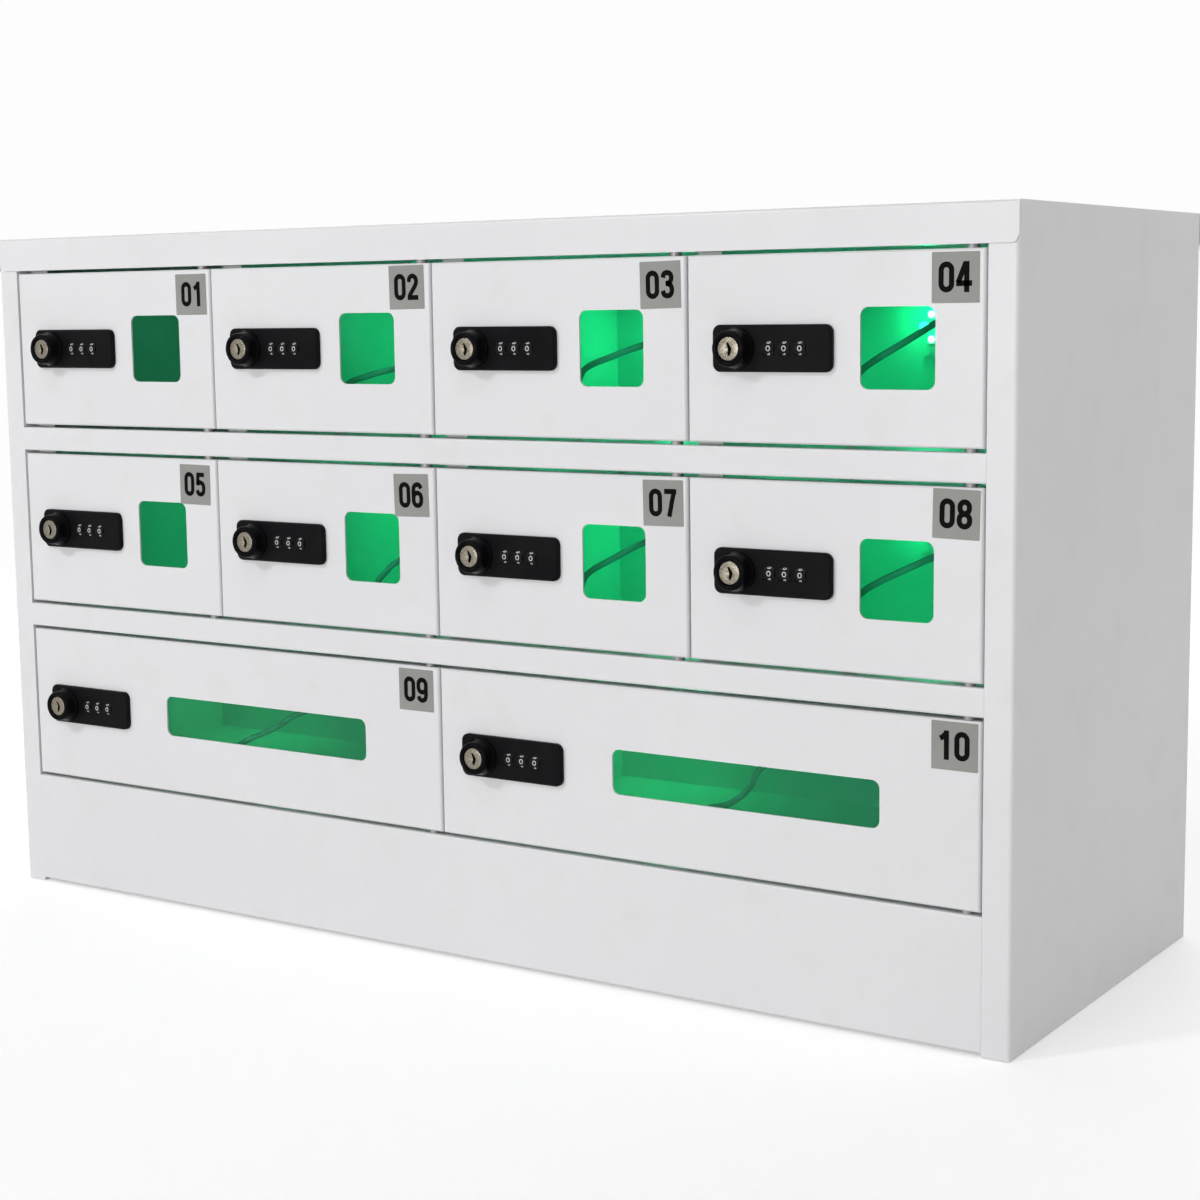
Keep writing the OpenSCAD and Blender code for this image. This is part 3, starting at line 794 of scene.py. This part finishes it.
def cam_mesh():
    """Cam plate that hangs from the spindle: straight sides and rounded ends."""
    steps = 24
    outline = []
    for k in range(steps + 1):
        a = math.pi * k / steps
        outline.append((CAM_HALF_W * math.cos(a), CAM_HALF_W * math.sin(a)))
    low = CAM_HALF_W - CAM_REACH
    for k in range(0, steps + 1, 2):
        a = math.pi + math.pi * k / steps
        outline.append((CAM_HALF_W * math.cos(a), CAM_HALF_W * math.sin(a) + low))
    mesh = flat_mesh("lock_cam", [outline], CAM_T, CAM_EDGE)
    mesh.transform(Matrix.Translation((0, CAM_Y + CAM_T, 0)))
    shade_smooth(mesh, 35)
    return mesh


def digit_mesh(text, height, wide, depth):
    """Raised numerals centred on the origin in x and z; they reach from y = 0 to y = -depth."""
    bm = bmesh.new()
    for k, character in enumerate(text):
        strokes = [stroke_mesh(path, wide) for path in DIGIT_STROKES[character]]
        shape = union_mesh("digit_" + character, strokes)
        shape.transform(Matrix.Translation((k * DIGIT_PITCH, 0, 0)))
        bm.from_mesh(shape)
    xs = [v.co.x for v in bm.verts]
    centre = ((max(xs) + min(xs)) / 2, 0, 0.5)
    bmesh.ops.translate(bm, vec=-Vector(centre), verts=bm.verts)
    bmesh.ops.scale(bm, vec=(height, depth / STROKE_DEPTH, height), verts=bm.verts)
    mesh = bpy.data.meshes.new("digits_" + text)
    bm.to_mesh(mesh)
    bm.free()
    return mesh


# Numerals on the wheels: height, widening, how far they are let in and stand out, and the height
# of the slices that bend them round the wheel, with the cuts above and below their middle.
DIAL_DIGIT_H, DIAL_DIGIT_WIDE = 0.0029, 1.8
DIAL_DIGIT_SINK, DIAL_DIGIT_OUT = 0.0003, 0.00004
SLICE_H, CUTS_EACH_WAY = 0.00038, 4
DIGITS_ROUND_WHEEL, WHEELS_IN_LOCK = 10, 3


def bent_digit_mesh(digit):
    """One numeral bent round a wheel whose axis is the X axis; the 0 faces the front."""
    flat = digit_mesh(str(digit), DIAL_DIGIT_H, DIAL_DIGIT_WIDE, DIAL_DIGIT_SINK + DIAL_DIGIT_OUT)
    bm = bmesh.new()
    bm.from_mesh(flat)
    for k in range(-CUTS_EACH_WAY, CUTS_EACH_WAY + 1):
        geometry = bm.verts[:] + bm.edges[:] + bm.faces[:]
        height = (0, 0, SLICE_H * k)
        bmesh.ops.bisect_plane(bm, geom=geometry, plane_co=height, plane_no=(0, 0, 1))
    for vert in bm.verts:
        angle = vert.co.z / WHEEL_R - math.radians(360 / DIGITS_ROUND_WHEEL * digit)
        radius = WHEEL_R - DIAL_DIGIT_SINK - vert.co.y
        vert.co = (vert.co.x, -radius * math.cos(angle), radius * math.sin(angle))
    mesh = bpy.data.meshes.new("bent_digit")
    bm.to_mesh(mesh)
    bm.free()
    return mesh


def dial_digits_mesh():
    """White numerals 0 to 9 round each wheel of a lock."""
    bm = bmesh.new()
    for digit in range(DIGITS_ROUND_WHEEL):
        bent = bent_digit_mesh(digit)
        for wheel in range(WHEELS_IN_LOCK):
            if wheel:
                bent.transform(Matrix.Translation((WHEEL_PITCH, 0, 0)))
            bm.from_mesh(bent)
    mesh = bpy.data.meshes.new("dial_digits")
    bmesh.ops.recalc_face_normals(bm, faces=bm.faces)
    bm.to_mesh(mesh)
    bm.free()
    return mesh


def add_locks():
    knob, cylinder, keyway = knob_mesh(), key_cylinder_mesh(), keyway_mesh()
    spindle, cam, digits = spindle_mesh(), cam_mesh(), dial_digits_mesh()
    for i, number in enumerate(DOORS):
        body = "knob_" + number
        place = cell_point(i, KNOB_X, 0, LOCK_Z)
        grip = add_piece("lock_grip_" + number, knob, KNOB_BLACK, place, body)
        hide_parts("lock_knob_" + number)
        add_piece("key_cylinder_" + number, cylinder, NICKEL, place, body)
        # The keyway's black floor is painted shade for the deep slot.
        add_piece("keyway_shade_" + number, keyway, KNOB_BLACK, place, body)
        add_piece("lock_spindle_" + number, spindle, STEEL, place, body)
        add_piece("lock_cam_" + number, cam, STEEL, place, body)
        place = cell_point(i, WHEEL_X, WHEEL_Y, LOCK_Z)
        wheels = "wheels_" + number
        add_piece("dial_digits_" + number, digits, DIGIT_WHITE, place, wheels)


add_locks()


# ---- number labels ----

LABEL_W, LABEL_H, LABEL_T = 0.0250, 0.0244, 0.00015
LABEL_CORNER, LABEL_EDGE = 0.0005, 0.00003
# Printed number of a label: height, thickness, how far it is let into the label, and its shift from
# the label's middle in x and z.
PRINT_H, PRINT_T, PRINT_SINK = 0.0147, 0.00006, 0.00002
PRINT_SHIFT = (-0.0002, 0.0002)
# Each label is stuck on by hand: its middle's height in the cell and distance from the cell's right
# edge, in millimetres, and its turn in degrees.
LABEL_PLACES = [
    (82.7, 15.4, -0.2), (84.4, 16.7, -0.6), (83.0, 15.7, -1.1), (83.9, 16.1, 0.0),
    (82.1, 17.8, 0.5), (81.6, 16.9, -1.3), (83.6, 15.2, -0.8), (84.5, 14.8, 1.1),
    (83.7, 16.8, -0.1), (84.4, 14.7, 0.0),
]


def add_labels():
    outline = round_outline(LABEL_W, LABEL_H, LABEL_CORNER)
    plate = flat_mesh("label", [outline], LABEL_T, LABEL_EDGE)
    on_label = Matrix.Translation((PRINT_SHIFT[0], PRINT_SINK - LABEL_T, PRINT_SHIFT[1]))
    for i, number in enumerate(DOORS):
        body = "door_%s_leaf" % number
        height, from_right, degrees = LABEL_PLACES[i]
        place = cell_point(i, cell_span(i) - MM * from_right, 0, MM * height)
        turn = Matrix.Rotation(math.radians(degrees), 4, "Y")
        label = plate.copy()
        label.transform(turn)
        add_piece("label_" + number, label, LABEL_GREY, place, body)
        digits = digit_mesh(number, PRINT_H, 1.0, PRINT_T)
        digits.transform(on_label)
        digits.transform(turn)
        add_piece("label_digits_" + number, digits, LABEL_INK, place, body)


add_labels()


# ---- light packages and cover screws ----

def led_lens_mesh():
    """Domed lenses of a board's two light packages, one above the other."""
    def build(bm):
        profile = [
            (0, -0.0026), (0.0018, -0.0026), (0.0018, -0.0031), (0.0017, -0.0035),
            (0.0013, -0.0040), (0.0007, -0.0043), (0, -0.0044),
        ]
        for z in LED_Z:
            start = len(bm.verts)
            lathe(bm, profile, 32)
            bm.verts.ensure_lookup_table()
            bmesh.ops.translate(bm, vec=(0, 0, z), verts=bm.verts[start:])
    return mesh_from("led_lens", build)


def add_led_lenses():
    lens = led_lens_mesh()
    for i, number in enumerate(DOORS):
        place = cell_point(i, LED_X, REAR_WALL_Y, 0)
        add_piece("led_lens_" + number, lens, LED_GLOW, place, "cabinet")


def cross_outline(reach, half, steps=4):
    """Cross recess of a screw: four arms with rounded ends; half is half an arm's width."""
    end = reach - half
    arm = [(half, half), (end, half)]
    for k in range(1, steps):
        a = math.pi * k / steps
        arm.append((end + half * math.sin(a), half * math.cos(a)))
    arm.append((end, -half))
    points = []
    for turn in range(4):
        c = math.cos(math.pi / 2 * turn)
        s = math.sin(math.pi / 2 * turn)
        points += [(x * c + z * s, z * c - x * s) for x, z in arm]
    return points


# Cover screws: radius of the head, thickness of the plate that carries the recess and how far it
# is sunk, and reach and half width of the recess's arms.
SCREW_R, SCREW_PLATE_T, SCREW_SINK = 0.0030, 0.0004, 0.00045
CROSS_REACH, CROSS_HALF_W = 0.0018, 0.0004
# Their distance from the sides, and their heights.
SCREW_IN = 0.008
SCREW_HEIGHTS = (0.020, 0.140, 0.260, 0.380)


def cover_screw_mesh():
    """Countersunk screw with a cross recess; y = 0 is the cover's face."""
    shank = [
        (0, -0.00048), (SCREW_R, -0.00044), (0.0018, -0.00115), (0.0017, -0.0060),
        (0.0010, -0.0072), (0, -0.0075),
    ]
    outlines = [circle_outline(SCREW_R, 48), backwards(cross_outline(CROSS_REACH, CROSS_HALF_W))]
    head = flat_mesh("cover_screw", outlines, SCREW_PLATE_T)
    head.transform(Matrix.Rotation(math.pi, 4, "Z"))
    bm = bmesh.new()
    bm.from_mesh(head)
    bmesh.ops.translate(bm, vec=(0, -SCREW_SINK, 0), verts=bm.verts)
    lathe(bm, shank, 40)
    bm.to_mesh(head)
    bm.free()
    shade_smooth(head, 35)
    return head


def add_cover_screws():
    screw = cover_screw_mesh()
    places = [(x, z) for x in (SCREW_IN, CAB_W - SCREW_IN) for z in SCREW_HEIGHTS]
    for count, (x, z) in enumerate(places, 1):
        place = (x - CAB_W / 2, FACE_Y + CAB_D, z)
        add_piece("cover_screw_%d" % count, screw, STEEL, place, "cabinet")


add_led_lenses()
add_cover_screws()


# ---- lights ----

# Power of the green light in each compartment, in watts, from door 01 to door 10.
LED_POWER = [0.002, 0.028, 0.056, 0.053, 0.020, 0.033, 0.043, 0.045, 0.022, 0.030]
# The share and the colour of the lamp that lights the compartment, and of the one beside the board
# that makes the glow round it.
WASH_SHARE, WASH_COLOUR = 0.8, (0.012, 1.0, 0.35)
GLOW_SHARE, GLOW_COLOUR = 0.12, (0.02, 1.0, 0.50)
WASH_SIZE, GLOW_SIZE = (0.012, 0.008), 0.003
# Heights of both lamps in the cell and distances before the rear wall; the wash's direction is down
# and a little forward.
WASH_Z, WASH_OUT = 0.080, 0.010
GLOW_Z, GLOW_OUT = sum(LED_Z) / 2, 0.012
WASH_DIRECTION = Vector((0, -0.35, -0.94))

WHITE_LIGHT = (1.0, 1.0, 1.0)
WARM_LIGHT = (1.0, 0.95, 0.91)
# Each studio lamp is (name, place, target, power in watts, colour, size).
STUDIO_LAMPS = [
    ("key_light", (-1.0, -2.0, 1.7), (0, 0, 0.2), 16, WHITE_LIGHT, (0.3, 0.3)),
    ("fill_light", (-0.1, -3.3, 0.36), (0, 0, -0.2), 31, WHITE_LIGHT, (1.8, 0.6)),
    ("side_light", (2.9, 0.3, 0.7), (0, 0, 0.1), 13, WARM_LIGHT, (1.6, 1.3)),
    ("top_light", (0.0, -1.3, 2.3), (0, 0, 0.2), 3, WHITE_LIGHT, (0.3, 0.3)),
    ("back_light", (-1.2, 2.8, 1.9), (0, 0, 0.2), 40, WHITE_LIGHT, (3.2, 2.6)),
]


def add_lamp(name, kind, place, target, power, colour, size):
    """Lamp at a place, aimed at its target; size is (width, height), or a point lamp's radius."""
    data = bpy.data.lights.new(name, kind)
    data.energy = power
    data.color = colour
    if kind == "AREA":
        data.shape = "RECTANGLE"
        data.size, data.size_y = size
    else:
        data.shadow_soft_size = size
    lamp = bpy.data.objects.new(name, data)
    lamp.location = place
    aim = Vector(target) - Vector(place)
    lamp.rotation_euler = aim.to_track_quat("-Z", "Y").to_euler()
    bpy.context.scene.collection.objects.link(lamp)


def add_compartment_lights():
    for i, number in enumerate(DOORS):
        power = LED_POWER[i]
        place = cell_point(i, LED_X, REAR_WALL_Y - WASH_OUT, WASH_Z)
        target = place + WASH_DIRECTION
        add_lamp(
            "compartment_light_" + number, "AREA", place, target,
            WASH_SHARE * power, WASH_COLOUR, WASH_SIZE)
        place = cell_point(i, LED_X, REAR_WALL_Y - GLOW_OUT, GLOW_Z)
        add_lamp(
            "board_light_" + number, "POINT", place, target,
            GLOW_SHARE * power, GLOW_COLOUR, GLOW_SIZE)


def add_studio_lights():
    for name, place, target, power, colour, size in STUDIO_LAMPS:
        add_lamp(name, "AREA", place, target, power, colour, size)


add_compartment_lights()
add_studio_lights()


# ---- floor and background ----

BACKGROUND = (0.985, 0.985, 0.985)
# Strength of the light from all round, and of the glow that brings the floor near the background.
AMBIENT, FLOOR_LIFT = 0.32, 0.40
FLOOR_COLOURS = (0.80, 0.80, 0.805), (0.83, 0.83, 0.835)
# The floor's radius, its drop under the cabinet, and the distances between which it fades.
FLOOR_R, FLOOR_DROP = 8, 0.0005
FADE_FROM, FADE_TO = 0.7, 2.4


def seen_ray(tree):
    """1 for rays that come from the camera straight, mirrored or through glass, or else 0."""
    path = tree.nodes.new("ShaderNodeLightPath")
    total = path.outputs["Is Camera Ray"]
    for kind in ("Is Glossy Ray", "Is Transmission Ray"):
        either = tree.nodes.new("ShaderNodeMath")
        either.operation = "MAXIMUM"
        tree.links.new(total, either.inputs[0])
        tree.links.new(path.outputs[kind], either.inputs[1])
        total = either.outputs["Value"]
    return total


def add_world():
    world = bpy.data.worlds.new("studio")
    world.use_nodes = True
    bpy.context.scene.world = world
    tree = world.node_tree
    ambient = tree.nodes["Background"]
    ambient.inputs["Color"].default_value = (1.0, 1.0, 1.0, 1)
    ambient.inputs["Strength"].default_value = AMBIENT
    shown = tree.nodes.new("ShaderNodeBackground")
    shown.inputs["Color"].default_value = (*BACKGROUND, 1)
    shown.inputs["Strength"].default_value = 1.0
    mix = tree.nodes.new("ShaderNodeMixShader")
    tree.links.new(seen_ray(tree), mix.inputs["Fac"])
    tree.links.new(ambient.outputs["Background"], mix.inputs[1])
    tree.links.new(shown.outputs["Background"], mix.inputs[2])
    tree.links.new(mix.outputs["Shader"], tree.nodes["World Output"].inputs["Surface"])


def floor_material():
    """Pale floor that keeps the shadow near the cabinet and fades into the background."""
    material, tree, shader = new_material("studio_floor")
    speck = noise(tree, 140, 3)
    cloud = noise(tree, 1.5, 2)
    shade = tint(tree, spread(tree, cloud, 0, 1), *FLOOR_COLOURS)
    tree.links.new(shade, shader.inputs["Base Color"])
    shader.inputs["Roughness"].default_value = 0.7
    bump(tree, shader, speck, 0.0002)
    lift = tree.nodes.new("ShaderNodeEmission")
    lift.inputs["Color"].default_value = (1, 1, 1, 1)
    seen = seen_ray(tree)
    strength = tree.nodes.new("ShaderNodeMath")
    strength.operation = "MULTIPLY"
    strength.inputs[1].default_value = FLOOR_LIFT
    tree.links.new(seen, strength.inputs[0])
    tree.links.new(strength.outputs["Value"], lift.inputs["Strength"])
    lifted = tree.nodes.new("ShaderNodeAddShader")
    tree.links.new(shader.outputs["BSDF"], lifted.inputs[0])
    tree.links.new(lift.outputs["Emission"], lifted.inputs[1])
    far = tree.nodes.new("ShaderNodeEmission")
    far.inputs["Color"].default_value = (*BACKGROUND, 1)
    coords = tree.nodes.new("ShaderNodeTexCoord")
    distance = tree.nodes.new("ShaderNodeVectorMath")
    distance.operation = "LENGTH"
    tree.links.new(coords.outputs["Object"], distance.inputs[0])
    fade = tree.nodes.new("ShaderNodeMapRange")
    fade.interpolation_type = "SMOOTHSTEP"
    fade.inputs["From Min"].default_value = FADE_FROM
    fade.inputs["From Max"].default_value = FADE_TO
    tree.links.new(distance.outputs["Value"], fade.inputs["Value"])
    both = tree.nodes.new("ShaderNodeMath")
    both.operation = "MULTIPLY"
    tree.links.new(fade.outputs["Result"], both.inputs[0])
    tree.links.new(seen, both.inputs[1])
    mix = tree.nodes.new("ShaderNodeMixShader")
    tree.links.new(both.outputs["Value"], mix.inputs["Fac"])
    tree.links.new(lifted.outputs["Shader"], mix.inputs[1])
    tree.links.new(far.outputs["Emission"], mix.inputs[2])
    tree.links.new(mix.outputs["Shader"], tree.nodes["Material Output"].inputs["Surface"])
    return material


def add_floor():
    def build(bm):
        bmesh.ops.create_circle(bm, cap_ends=True, segments=96, radius=FLOOR_R)
    mesh = mesh_from("studio_floor", build)
    mesh.materials.append(floor_material())
    floor = bpy.data.objects.new("studio_floor", mesh)
    floor.location = (0, 0, -FLOOR_DROP)
    bpy.context.scene.collection.objects.link(floor)


def set_view():
    bpy.context.scene.view_settings.view_transform = "Standard"


add_world()
add_floor()
set_view()
